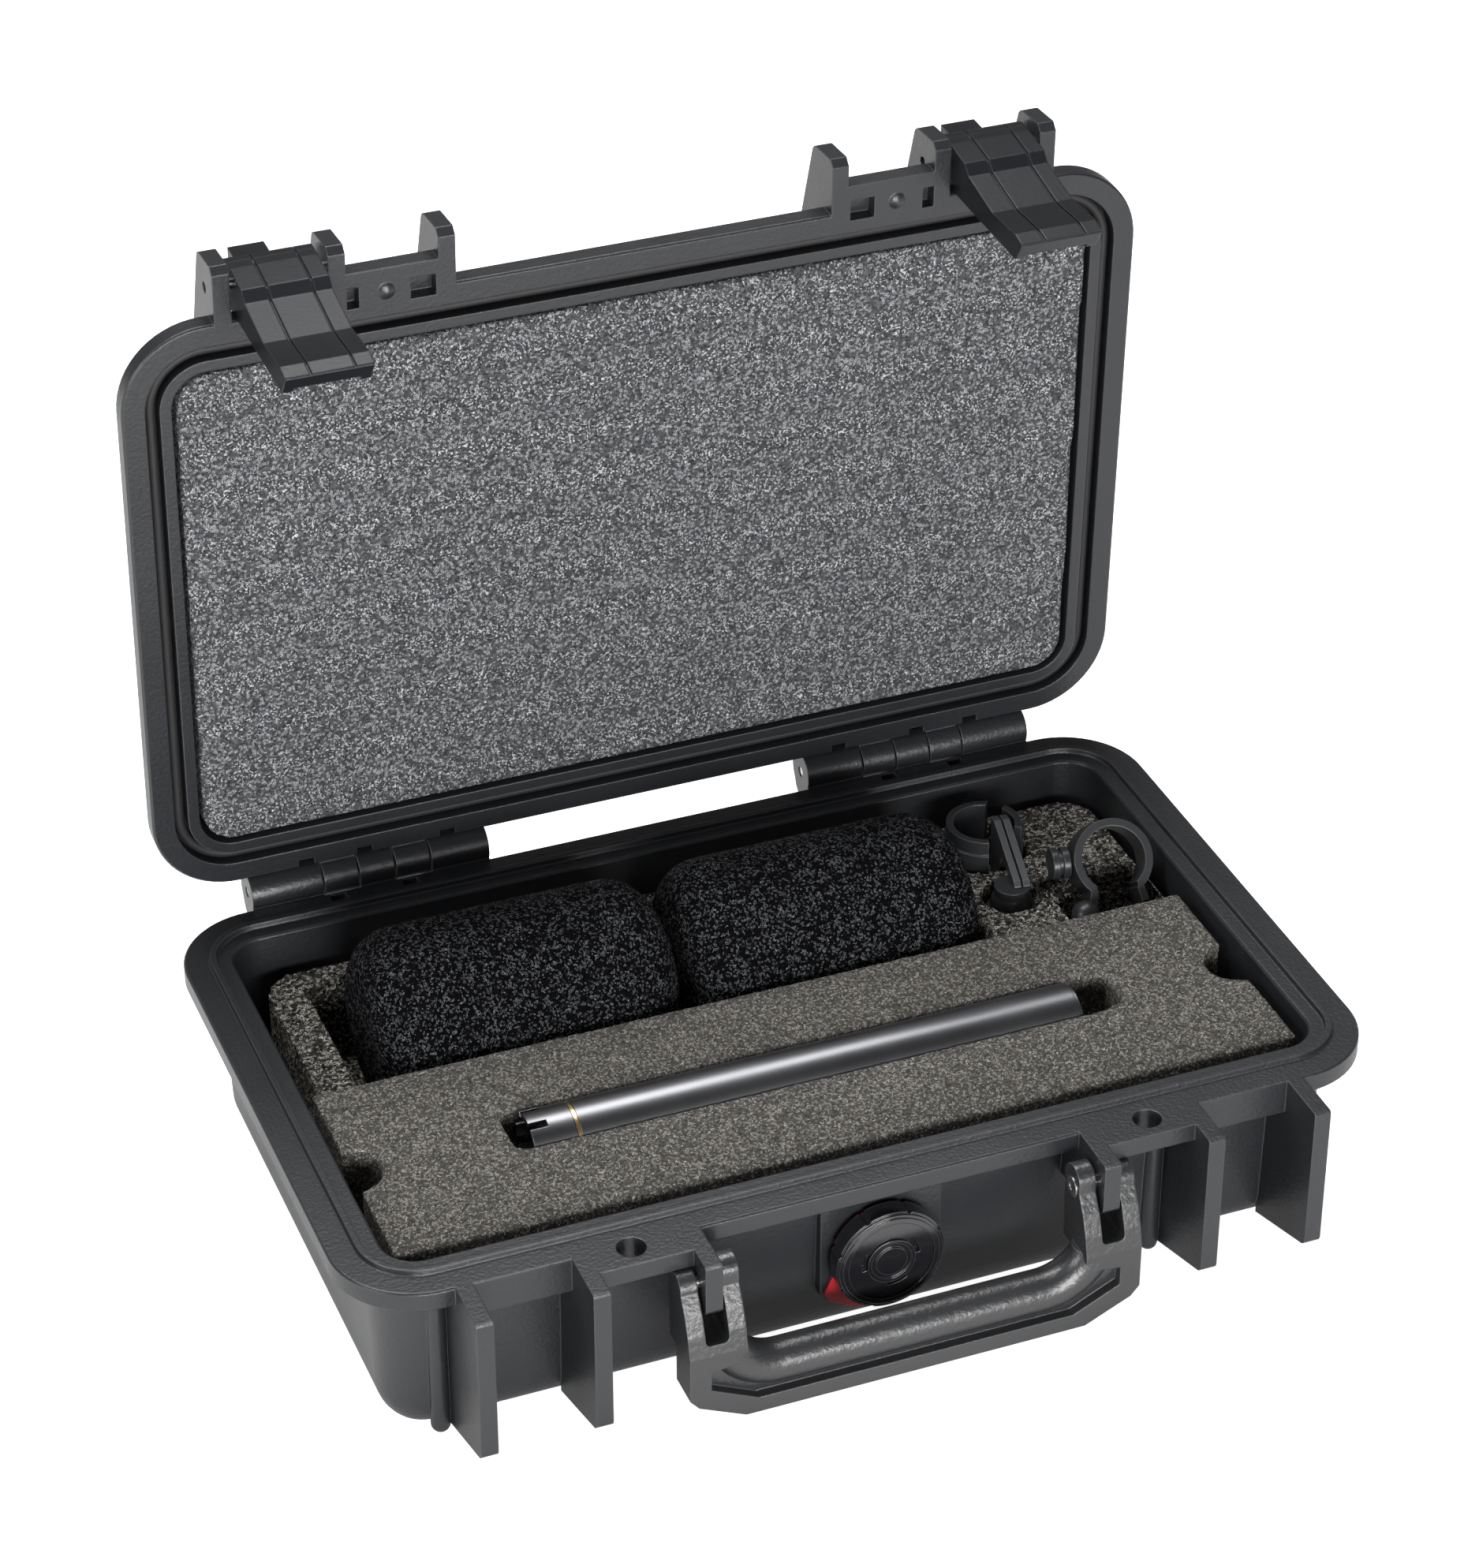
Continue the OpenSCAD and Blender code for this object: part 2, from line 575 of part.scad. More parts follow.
module handle() {
    low = grip_z - grip_len;
    top = low + grip_h;
    color("dimgray") difference() {
        union() {
            difference() {
                intersection() {
                    union() {
                        difference() {
                            upright(grip_y - 30, grip_y - 1) handle_edge();
                            upright(grip_y - 40, grip_y + 9)
                                plan(-prong_in - 4.6, top - 5.3, prong_in + 4.6, grip_z + 40, grip_bend + 3.5);
                        }
                        difference() {
                            upright(grip_y - 30, grip_y + 10) handle_edge();
                            translate([-prong_out - 1, grip_y - 40, low - 5])
                                cube([2 * prong_out + 2, 60, grip_h + 9]);
                            translate([-prong_in, grip_y - 40, low]) cube([2 * prong_in, 60, 80]);
                        }
                    }
                    rib_plate(0, 2 * prong_out, handle_side());
                }
                handle_channel(low);
            }
            handle_roll();
        }
        for (s = [-1, 1]) translate([s * rib_c - rib_t / 2 - prong_gap, 0, 0])
            upright(grip_y - 30, grip_y + 20) plan(0, grip_z - 14, rib_t + 2 * prong_gap, grip_z + 46, 1.5);
        both_sides() {
            rod_x(prong_in - 5, prong_out - 0.9, grip_y, grip_z, grip_pin_r + 0.06);
            rod_x(prong_in - 5, prong_in + 0.7, grip_y, grip_z, grip_pin_r + 0.96);
            difference() {
                translate([prong_out - prong_t - 2, grip_y - 20, grip_z]) cube([20, 40, 20]);
                rod_x(prong_out - prong_t - 3, prong_out + 20, grip_y, grip_z, grip_eye_r + 0.1);
            }
        }
    }
}

// Points of the handle's side view: eye at the top, bar at the bottom
function handle_side() = let (low = grip_z - grip_len) concat(
    arc([grip_y, grip_z + eye_up], grip_eye_r, -10, 175, 14),
    [[grip_y - 4.5, grip_z], [grip_y - 7.4, grip_z - 5], [grip_y - 9.6, grip_z - 11],
    [grip_y - grip_t + 3, low + 24], [grip_y - grip_t + 3, low + 1.2], [grip_y - grip_t + 4.2, low],
    [grip_y - 1, low], [grip_y + 1.5, low + 2.5], [grip_y + 3.5, low + 14]]);

// Sunk channel along the front of the bar, between the round grip and the rail below it
module handle_channel(low) {
    translate([0, grip_y - grip_t + 5.8, 0]) rotate([90, 0, 0]) linear_extrude(20) polygon([
        [-prong_out + 6, low + 18.5], [-prong_out + 6, low + 12.6], [-prong_out + 19.4, low + 6],
        [prong_out - 19.4, low + 6], [prong_out - 6, low + 12.6], [prong_out - 6, low + 18.5],
        [prong_in + 3, low + 19.5], [prong_in - 2, low + 16], [-prong_in + 2, low + 16],
        [-prong_in - 3, low + 19.5]]);
}

module handle_pin(side) {
    color("silver") mirror([side > 0 ? 0 : 1, 0, 0]) difference() {
        union() {
            rod_x(prong_in, prong_out - 1, grip_y, grip_z, grip_pin_r);
            rod_x(prong_in - 0.2, prong_in + 0.6, grip_y, grip_z, grip_pin_r + 0.9);
        }
        rod_x(prong_in - 1, prong_in + 3, grip_y, grip_z, 1.2);
    }
}
module handle_pin_left() { handle_pin(-1); }
module handle_pin_right() { handle_pin(1); }

module valve_stem() {
    color("black") difference() {
        union() {
            rod_y(knob_y + 2.7, boss_y + 13, 0, valve_z, stem_r);
            rod_y(boss_y - 1.7, boss_y - 1.3, 0, valve_z, stem_r + 2.5);
        }
        rod_y(boss_y + 2, boss_y + 20, 0, valve_z, stem_r - 2);
    }
}

module valve_seal() {
    color("black") translate([0, boss_y - 0.65, valve_z]) rotate([90, 0, 0])
        rotate_extrude($fn = 64) translate([stem_r + 1.3, 0]) circle(0.6);
}

module valve_nut() {
    color("black") translate([0, boss_y + 12.2, valve_z]) rotate([90, 0, 0]) difference() {
        cylinder(r = stem_r + 3.2, h = 2.6, $fn = 6);
        translate([0, 0, -1]) cylinder(r = stem_r + 0.02, h = 8, $fn = 48);
    }
}

module valve_membrane() {
    color("white") rod_y(boss_y + 2.1, boss_y + 2.7, 0, valve_z, stem_r - 2.05);
}

// Knob that opens the valve, hollow behind, with eight grip nicks round its rim
module valve_knob() {
    y0 = knob_y;
    color("black") difference() {
        union() {
            rod_y(y0 + 1, y0 + knob_t, 0, valve_z, knob_r);
            rod_y(y0 + 0.4, y0 + 2, 0, valve_z, knob_r - 0.7);
            rod_y(y0, y0 + 2, 0, valve_z, knob_r - 1.6);
        }
        difference() {
            rod_y(y0 - 1, y0 + 1.8, 0, valve_z, cap_out + 0.1);
            rod_y(y0 - 2, y0 + 3, 0, valve_z, cap_in - 0.1);
        }
        difference() {
            rod_y(y0 - 1, y0 + 0.5, 0, valve_z, cap_in - 1.2);
            rod_y(y0 - 2, y0 + 3, 0, valve_z, cap_in - 2.5);
        }
        rod_y(y0 + 2.6, y0 + knob_t, 0, valve_z, stem_r + 0.06);
        for (a = [20 : 45 : 335]) translate([0, y0 + 3, valve_z]) rotate([90, a, 0])
            translate([knob_r + 0.3, 0, 0]) cylinder(r = 0.9, h = 8, center = true);
    }
}

// Ring let into the knob's face, with three arc slots at its inner edge
module valve_cap() {
    y0 = knob_y;
    color("black") difference() {
        rod_y(y0 + 0.6, y0 + 1.7, 0, valve_z, cap_out);
        rod_y(y0 - 1, y0 + 3, 0, valve_z, cap_in);
        for (a = [4, 150, 262]) translate([0, y0 + 3, valve_z]) rotate([90, 0, 0]) rotate([0, 0, a])
            rotate_extrude(angle = 42, $fn = 64) translate([cap_in - 0.5, 0]) square([1.9, 6]);
    }
}

// Warning tag trapped behind the knob: a disc with a pointed ear low on each side
module valve_tag() {
    color("red") translate([0, boss_y - 0.1, valve_z]) rotate([90, 0, 0]) difference() {
        union() {
            cylinder(r = knob_r - 1.8, h = 0.9);
            linear_extrude(0.9) polygon(knob_r * [[0, -1.276], [0.577, -1.167], [0.936, -0.962], [1.115, -0.667],
                [0.974, -0.353], [0.615, -0.321], [0, -0.705], [-0.609, -0.321], [-0.91, -0.417], [-1.051, -0.737],
                [-0.981, -0.917], [-0.474, -1.199]]);
        }
        translate([0, 0, -1]) cylinder(r = stem_r + 2.4, h = 3);
    }
}

module lid_foam() {
    u = inner_u + 0.4 - lid_draft - foam_gap;
    color("slategray") on_open_lid() translate([0, 0, lid_z + 0.2])
        linear_extrude(ceiling_z - lid_z - 3.5) plan(-cx - u, -cy - u, cx + u, cy + u, u);
    color("slategray") on_open_lid() translate([0, 0, lid_z + 1])
        linear_extrude(ceiling_z - lid_z - 1 - foam_gap)
            plan(-cx - u + 3, -cy - u + 3, cx + u - 3, cy + u - 3, u - 3);
}

// Rear foam with a floor under the tray, and pockets for the windscreens and the clips
module rear_foam() {
    x0 = -case_l / 2 + 21.5;
    x1 = case_l / 2 - 17;
    y1 = back - 19.5;
    low = tray_low - foam_gap;
    color("dimgray") difference() {
        union() {
            translate([0, 0, floor_z + 0.1]) linear_extrude(8) plan(-cx - 1, -cy - 1, cx + 1, cy + 1, 6);
            translate([0, 0, floor_z + 7]) linear_extrude(low - floor_z - 7)
                plan(x0, front + 21.5, x1, tray_back + 9, 8);
            translate([0, 0, floor_z + 7]) linear_extrude(rear_z - floor_z - 7)
                plan_back(x0, tray_back + 0.7, x1, y1, 11);
        }
        translate([pocket_x0, tray_back - 1, screen_z - screen_r - 0.5])
            cube([pocket_x1 - pocket_x0, 2 * screen_r + 4, 60]);
        translate([left_clip[0], left_clip[1], rear_z - 12]) cylinder(r = clip_r + 0.7, h = 20);
        translate([left_foot[0], left_foot[1], rear_z - 14]) cylinder(r = 8.4, h = 20);
        translate([0, 0, rear_z - 16]) linear_extrude(30)
            plan(right_foot[0] - 4.6, tray_back - 6, right_clip[0] + clip_r - 0.2, right_clip[1] + 10, 3);
        translate([right_clip[0] - clip_r - 2, right_clip[1] + 8, rear_z - 7]) cylinder(r = 6.6, h = 20);
    }
}

// Rectangle with its two back corners rounded
module plan_back(x0, y0, x1, y1, r) {
    translate([x0, y0]) square([x1 - x0, y1 - y0 - r]);
    translate([x0 + r, y0]) square([x1 - x0 - 2 * r, y1 - y0]);
    for (x = [x0 + r, x1 - r]) translate([x, y1 - r]) circle(r);
}

// Lift-out tray with the microphone's bed and a finger notch at each end
module tray_foam() {
    color("gray") difference() {
        translate([tray_x0, tray_y0, tray_low]) cube([tray_x1 - tray_x0, tray_back - tray_y0, tray_t]);
        rod_x(slot_x0, slot_x1, mic_y, mic_z, slot_r);
        translate([0, 0, mic_z]) linear_extrude(20) {
            plan(slot_x0, mic_y - slot_r, slot_x1 - 14, mic_y + slot_r, 4.6);
            plan(slot_x1 - 33, mic_y - slot_r, slot_x1, mic_y + slot_r, slot_r - 0.3);
        }
        for (x = [tray_x0, tray_x1]) translate([x, -31, tray_low - 1])
            cylinder(r = notch_r, h = tray_t + 2);
    }
}

module mic_body() {
    x0 = mic_x0 + head_l + 1.2;
    x1 = mic_x0 + mic_l;
    color("#26282a") difference() {
        union() {
            rod_x(x0, x1 - 1, mic_y, mic_z, mic_r);
            rod_x(x1 - 1.1, x1, mic_y, mic_z, mic_r - 0.6);
            rod_x(x0 - 4, x0 + 1, mic_y, mic_z, mic_r - 2);
        }
        rod_x(x1 - 14, x1 + 1, mic_y, mic_z, mic_r - 1.4);
    }
}

module mic_ring() {
    color("gold") difference() {
        rod_x(mic_x0 + head_l + 0.1, mic_x0 + head_l + 1.1, mic_y, mic_z, mic_r - 0.1);
        rod_x(mic_x0 + head_l - 1, mic_x0 + head_l + 3, mic_y, mic_z, mic_r - 1.9);
    }
}

// Tube head, open at the front, with slots round its mouth
module mic_head() {
    color("#26282a") difference() {
        rod_x(mic_x0, mic_x0 + head_l, mic_y, mic_z, mic_r);
        rod_x(mic_x0 - 1, mic_x0 + head_l - 5, mic_y, mic_z, mic_r - 1.6);
        rod_x(mic_x0 + head_l - 7, mic_x0 + head_l + 2, mic_y, mic_z, mic_r - 1.9);
        for (a = [0 : 45 : 135]) translate([mic_x0 - 1, mic_y, mic_z]) rotate([a + 20, 0, 0])
            translate([0, -mic_r - 1, -1.1]) cube([6.2, 2 * mic_r + 2, 2.2]);
    }
}

module mic_capsule() {
    color("black") rod_x(mic_x0 + 5.2, mic_x0 + head_l - 5.2, mic_y, mic_z, mic_r - 1.75);
}

// Plug insert in the tail, with three contact pins
module mic_socket() {
    x1 = mic_x0 + mic_l;
    color("black") union() {
        rod_x(x1 - 13.8, x1 - 9, mic_y, mic_z, mic_r - 1.5);
        for (a = [0, 120, 240]) rod_x(x1 - 10, x1 - 2, mic_y + 4 * cos(a + 90), mic_z + 4 * sin(a + 90), 1);
    }
}

// Foam windscreen lying along X with a bore for the microphone at its right end
module windscreen(x0) {
    e = 14;
    color("#1b1b1d") translate([x0, screen_y, screen_z]) rotate([0, 90, 0])
        rotate_extrude($fn = 64) difference() {
        union() {
            square([screen_r - e, screen_l]);
            translate([0, e]) square([screen_r, screen_l - 2 * e]);
            for (z = [e, screen_l - e]) translate([screen_r - e, z]) circle(e);
        }
        translate([-1, screen_l - 70]) square([mic_r + 1, 80]);
    }
}
module windscreen_left() { windscreen(screen_x0); }
module windscreen_right() { windscreen(screen_x0 + screen_l + screen_gap); }

// Open ring of a clip round its own axis (Z), w wide, with the mouth towards -Y
module clip_ring(w) {
    difference() {
        cylinder(r = clip_r, h = w);
        translate([0, 0, -1]) cylinder(r = clip_r - clip_t, h = w + 2);
        rotate([0, 0, -90]) translate([clip_r / 2 + 1.6, -6.2, -1]) cube([clip_r, 12.4, w + 2]);
    }
    for (s = [-1, 1]) translate([s * 7.2, -clip_r + 1.9, 0]) rotate([0, 0, s * 12])
        translate([-1.1, -3.4, 0]) cube([2.2, 4.6, w]);
}

// Ring standing on a collar, with a narrow mouth at the back and a gap where the plates pass
module clip_left_ring() {
    color("#222426") translate([left_clip[0], left_clip[1], rear_z - 10.8]) difference() {
        union() {
            cylinder(r = clip_r - 0.6, h = clip_w);
            cylinder(r = clip_r, h = clip_w - 4.4);
        }
        translate([0, 0, -1]) cylinder(r = clip_r - clip_t - 0.4, h = clip_w + 2);
        translate([0, 0, 2]) linear_extrude(clip_w)
            polygon(concat([[0, 0]], arc([0, 0], 30, -106, -36, 2)));
        rotate([0, 0, 47]) translate([0, -2.6, 2]) cube([clip_r + 4, 5.2, clip_w]);
    }
}

// Two plates that rise from the foot into the ring
module clip_left_yoke() {
    color("gray") translate([left_foot[0] + 2.6, left_foot[1], 0]) rotate([0, 0, -10]) for (s = [-1, 1])
        rib_plate(s * 1.35, 2, [[-2.5, rear_z + 3.4], [3.6, rear_z + 3.4], [13.4, rear_z + 3.6],
            [16.5, rear_z - 8], [25, rear_z - 8], [26.4, rear_z + 9.6], [23, rear_z + 10.4],
            [-1, rear_z + 4.9]]);
}

module clip_left_foot() {
    color("#222426") translate([left_foot[0], left_foot[1], rear_z - 13]) difference() {
        union() {
            cylinder(r = 7.6, h = 8);
            translate([0, 0, 7]) cylinder(r = 5.2, h = 9.2);
            translate([0, 0, 10]) sphere(r = 6.3);
        }
        translate([0, 0, -1]) cylinder(r = 4.6, h = 9);
    }
}

// Leans the right clip back, with the middle of its ring's front face at the origin
module leaning() {
    translate(right_clip) rotate([0, 0, -9]) rotate([52, 0, 0]) children();
}

module clip_right_ring() {
    color("#222426") leaning() translate([0, 0, -clip_w + 9]) clip_ring(clip_w - 9);
}

module clip_right_knob() {
    color("#222426") leaning() {
        rod_x(-clip_r - 5.4, -clip_r - 0.15, 1, -6.5, 3.6);
        for (x = [5.6, 2.4]) rod_x(-clip_r - x, -clip_r - x + 2, 1, -6.5, 4.6);
    }
}

// Round lug beside the ring's left lip, on a block in the foam
module clip_right_foot() {
    color("#222426") translate([right_foot[0], right_foot[1], rear_z - 15.5]) union() {
        cylinder(r = 4.2, h = 15.6);
        translate([0, 0, 15.6]) sphere(r = 4.2);
        translate([-2, -2, 0.4]) cube([20, 4, 6]);
    }
}

base_shell();
lid_shell();
lid_seal();
hinge_pin_left();
hinge_pin_right();
latch_pin_left();
latch_pin_right();
latch_lever_left();
latch_lever_right();
claw_pin_left();
claw_pin_right();
latch_claw_left();
latch_claw_right();
handle();
handle_pin_left();
handle_pin_right();
valve_stem();
valve_seal();
valve_nut();
valve_membrane();
valve_knob();
valve_cap();
valve_tag();
lid_foam();
rear_foam();
tray_foam();
mic_body();
mic_ring();
mic_head();
mic_capsule();
mic_socket();
windscreen_left();
windscreen_right();
clip_left_ring();
clip_left_yoke();
clip_left_foot();
clip_right_ring();
clip_right_knob();
clip_right_foot();
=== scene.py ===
# %% [markdown]
# # An open microphone case
# A small watertight case stands open with a pencil microphone, two foam windscreens and two
# clips in cut foam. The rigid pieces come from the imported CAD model, in metres. This script
# gives them their plastics and metals, makes the foams as real foam, and lights the scene.

# %% Load the CAD model
import json, math
import bpy, bmesh
from mathutils import Vector, Matrix, noise


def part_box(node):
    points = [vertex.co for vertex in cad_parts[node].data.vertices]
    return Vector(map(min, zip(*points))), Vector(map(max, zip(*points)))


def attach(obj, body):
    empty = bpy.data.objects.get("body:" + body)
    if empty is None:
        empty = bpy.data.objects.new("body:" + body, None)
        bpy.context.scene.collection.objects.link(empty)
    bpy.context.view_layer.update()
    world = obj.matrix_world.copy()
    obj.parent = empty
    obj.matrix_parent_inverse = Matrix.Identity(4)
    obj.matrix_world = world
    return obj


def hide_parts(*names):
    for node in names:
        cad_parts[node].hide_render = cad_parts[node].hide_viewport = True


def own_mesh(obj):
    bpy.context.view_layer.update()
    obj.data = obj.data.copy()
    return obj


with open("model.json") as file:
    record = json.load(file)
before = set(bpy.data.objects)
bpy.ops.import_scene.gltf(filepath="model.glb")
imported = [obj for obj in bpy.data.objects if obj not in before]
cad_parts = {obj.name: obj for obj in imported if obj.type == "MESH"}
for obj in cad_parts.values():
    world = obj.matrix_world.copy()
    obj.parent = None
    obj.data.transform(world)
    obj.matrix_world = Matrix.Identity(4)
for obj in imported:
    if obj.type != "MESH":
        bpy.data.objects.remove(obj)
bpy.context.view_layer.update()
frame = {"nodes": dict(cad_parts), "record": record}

# %% [markdown]
# ## Camera
# The photographer stood in front and to the left, and looked down on the case with a long lens.
# The place and the angles come from the case's own corners, so they are set as plain numbers.

# %% Camera
def look(place, yaw, tilt, lens):
    """Place a camera, turned by yaw from the +Y axis towards +X and tilted down by tilt."""
    right = Vector((math.cos(yaw), -math.sin(yaw), 0))
    ahead = Vector((math.sin(yaw) * math.cos(tilt), math.cos(yaw) * math.cos(tilt), -math.sin(tilt)))
    up = right.cross(ahead)
    data = bpy.data.cameras.new("camera")
    data.sensor_fit, data.sensor_width, data.lens = "HORIZONTAL", 36, lens
    data.clip_start, data.clip_end = 0.05, 20
    cam = bpy.data.objects.new("camera", data)
    bpy.context.scene.collection.objects.link(cam)
    cam.matrix_world = Matrix.Translation(place) @ Matrix((right, up, -ahead)).transposed().to_4x4()
    return cam

camera = look(Vector((-0.38117, -0.94623, 0.80293)), yaw=0.376, tilt=0.583, lens=109.94)
bpy.context.scene.camera = camera
print("camera at", [round(v, 3) for v in camera.location])

# %% [markdown]
# ## Floor and light
# A white table runs out of the picture. A low, wide lamp in front draws the bright line along the
# microphone and lights the upright faces, a broad lamp overhead lights the foam and the rims, and
# a small one on the left lights the side walls. The sky is dim, so that black plastic stays black.

# %% Floor and light
def new_material(name):
    m = bpy.data.materials.new(name)
    m.use_nodes = True
    m.node_tree.nodes.clear()
    return m, m.node_tree.nodes, m.node_tree.links

def table_material():
    """White, and a little brighter than lit to the camera, so that it melts into the background."""
    m, nodes, links = new_material("table")
    out = nodes.new("ShaderNodeOutputMaterial")
    diffuse = nodes.new("ShaderNodeBsdfDiffuse")
    diffuse.inputs["Color"].default_value = (0.86, 0.86, 0.86, 1)
    glow, add = nodes.new("ShaderNodeEmission"), nodes.new("ShaderNodeAddShader")
    path = nodes.new("ShaderNodeLightPath")
    camera_part, level = nodes.new("ShaderNodeMath"), nodes.new("ShaderNodeMath")
    camera_part.operation, level.operation = "MULTIPLY", "MULTIPLY_ADD"
    camera_part.inputs[1].default_value, level.inputs[1].default_value = 0.85, 0.1
    links.new(path.outputs["Is Camera Ray"], camera_part.inputs[0])
    links.new(path.outputs["Is Glossy Ray"], level.inputs[0])
    links.new(camera_part.outputs[0], level.inputs[2])
    links.new(level.outputs[0], glow.inputs["Strength"])
    links.new(diffuse.outputs[0], add.inputs[0])
    links.new(glow.outputs[0], add.inputs[1])
    links.new(add.outputs[0], out.inputs["Surface"])
    return m

def make_table(half):
    mesh = bpy.data.meshes.new("table")
    mesh.from_pydata([(-half, -half, 0), (half, -half, 0), (half, half, 0), (-half, half, 0)], [], [(0, 1, 2, 3)])
    mesh.materials.append(table_material())
    obj = bpy.data.objects.new("table", mesh)
    bpy.context.scene.collection.objects.link(obj)

def soft_lamp(name, place, width, height, power, aim=(0, 0, 0.05)):
    data = bpy.data.lights.new(name, "AREA")
    data.shape, data.size, data.size_y, data.energy = "RECTANGLE", width, height, power
    lamp = bpy.data.objects.new(name, data)
    bpy.context.scene.collection.objects.link(lamp)
    lamp.location = place
    lamp.rotation_euler = (Vector(aim) - Vector(place)).to_track_quat("-Z", "Y").to_euler()

def sky(low, high):
    """Strength low at the horizon, falling to high overhead, and plain white to the camera."""
    world = bpy.data.worlds.new("sky")
    bpy.context.scene.world = world
    world.use_nodes = True
    nodes, links = world.node_tree.nodes, world.node_tree.links
    nodes.clear()
    out, back = nodes.new("ShaderNodeOutputWorld"), nodes.new("ShaderNodeBackground")
    path, coord = nodes.new("ShaderNodeLightPath"), nodes.new("ShaderNodeTexCoord")
    axes, ramp, pick = (nodes.new("ShaderNode" + kind) for kind in ("SeparateXYZ", "MapRange", "Mix"))
    ramp.inputs["From Min"].default_value, ramp.inputs["From Max"].default_value = 0.0, 0.8
    ramp.inputs["To Min"].default_value, ramp.inputs["To Max"].default_value = low, high
    links.new(coord.outputs["Generated"], axes.inputs[0])
    links.new(axes.outputs["Z"], ramp.inputs["Value"])
    links.new(path.outputs["Is Camera Ray"], pick.inputs[0])
    links.new(ramp.outputs["Result"], pick.inputs[2])
    pick.inputs[3].default_value = 1.0
    links.new(pick.outputs[0], back.inputs["Strength"])
    links.new(back.outputs[0], out.inputs["Surface"])

make_table(6)
soft_lamp("overhead_lamp", (-0.1, 0.5, 1.6), 1.4, 0.7, 31)
soft_lamp("front_lamp", (-0.1, -1.8, 0.36), 1.2, 0.5, 38)
soft_lamp("left_lamp", (-1.5, -0.5, 0.7), 0.5, 0.8, 9)
sky(0.22, 0.1)
bpy.context.scene.view_settings.view_transform = "Standard"

# %% [markdown]
# ## Effects that several finishes share
# Moulded plastic has a fine spark-eroded grain, and its edges are never quite sharp. Both are
# shader node groups. The grain gives a height for a bump and a little colour change. The edge group
# compares a rounded normal with the true one, so its mask picks out only corners, where a highlight is painted into
# the colour.

# %% Shared node groups
def group(name, inputs, outputs):
    tree = bpy.data.node_groups.new(name, "ShaderNodeTree")
    for title, value in inputs:
        tree.interface.new_socket(title, in_out="INPUT", socket_type="NodeSocketFloat").default_value = value
    for title, kind in outputs:
        tree.interface.new_socket(title, in_out="OUTPUT", socket_type=kind)
    return tree, tree.nodes.new("NodeGroupInput"), tree.nodes.new("NodeGroupOutput")

def grain_group():
    tree, given, result = group("moulded_grain", [("Scale", 900.0), ("Patch Scale", 25.0)],
                                [("Height", "NodeSocketFloat"), ("Patches", "NodeSocketFloat")])
    coord = tree.nodes.new("ShaderNodeTexCoord")
    fine, patch = tree.nodes.new("ShaderNodeTexNoise"), tree.nodes.new("ShaderNodeTexNoise")
    fine.inputs["Detail"].default_value = 3
    patch.inputs["Detail"].default_value, patch.inputs["Roughness"].default_value = 5, 0.65
    for n, scale, out in ((fine, "Scale", "Height"), (patch, "Patch Scale", "Patches")):
        tree.links.new(coord.outputs["Object"], n.inputs["Vector"])
        tree.links.new(given.outputs[scale], n.inputs["Scale"])
        tree.links.new(n.outputs["Fac"], result.inputs[out])
    return tree

def edge_group():
    # Rounded normal for the soft edges, and a mask along corners where the finishes paint a highlight into the
    # colour.
    tree, given, result = group("rounded_edge_painted_highlight", [("Radius", 0.0006), ("Reach", 0.25)],
                                [("Normal", "NodeSocketVector"), ("Mask", "NodeSocketFloat")])
    bevel, geo = tree.nodes.new("ShaderNodeBevel"), tree.nodes.new("ShaderNodeNewGeometry")
    bevel.samples = 6
    dot, span, away = (tree.nodes.new("ShaderNode" + kind) for kind in ("VectorMath", "MapRange", "Math"))
    dot.operation, away.operation = "DOT_PRODUCT", "SUBTRACT"
    span.inputs["From Min"].default_value = 1.0
    span.inputs["To Min"].default_value, span.inputs["To Max"].default_value = 0.0, 1.0
    away.inputs[0].default_value = 1.0
    tree.links.new(given.outputs["Radius"], bevel.inputs["Radius"])
    tree.links.new(bevel.outputs["Normal"], dot.inputs[0])
    tree.links.new(geo.outputs["True Normal"], dot.inputs[1])
    tree.links.new(given.outputs["Reach"], away.inputs[1])
    tree.links.new(away.outputs[0], span.inputs["From Max"])
    tree.links.new(dot.outputs["Value"], span.inputs["Value"])
    tree.links.new(bevel.outputs["Normal"], result.inputs["Normal"])
    tree.links.new(span.outputs["Result"], result.inputs["Mask"])
    return tree

grain, rounded_edge_painted_highlight = grain_group(), edge_group()
print("groups", [g.name for g in bpy.data.node_groups])
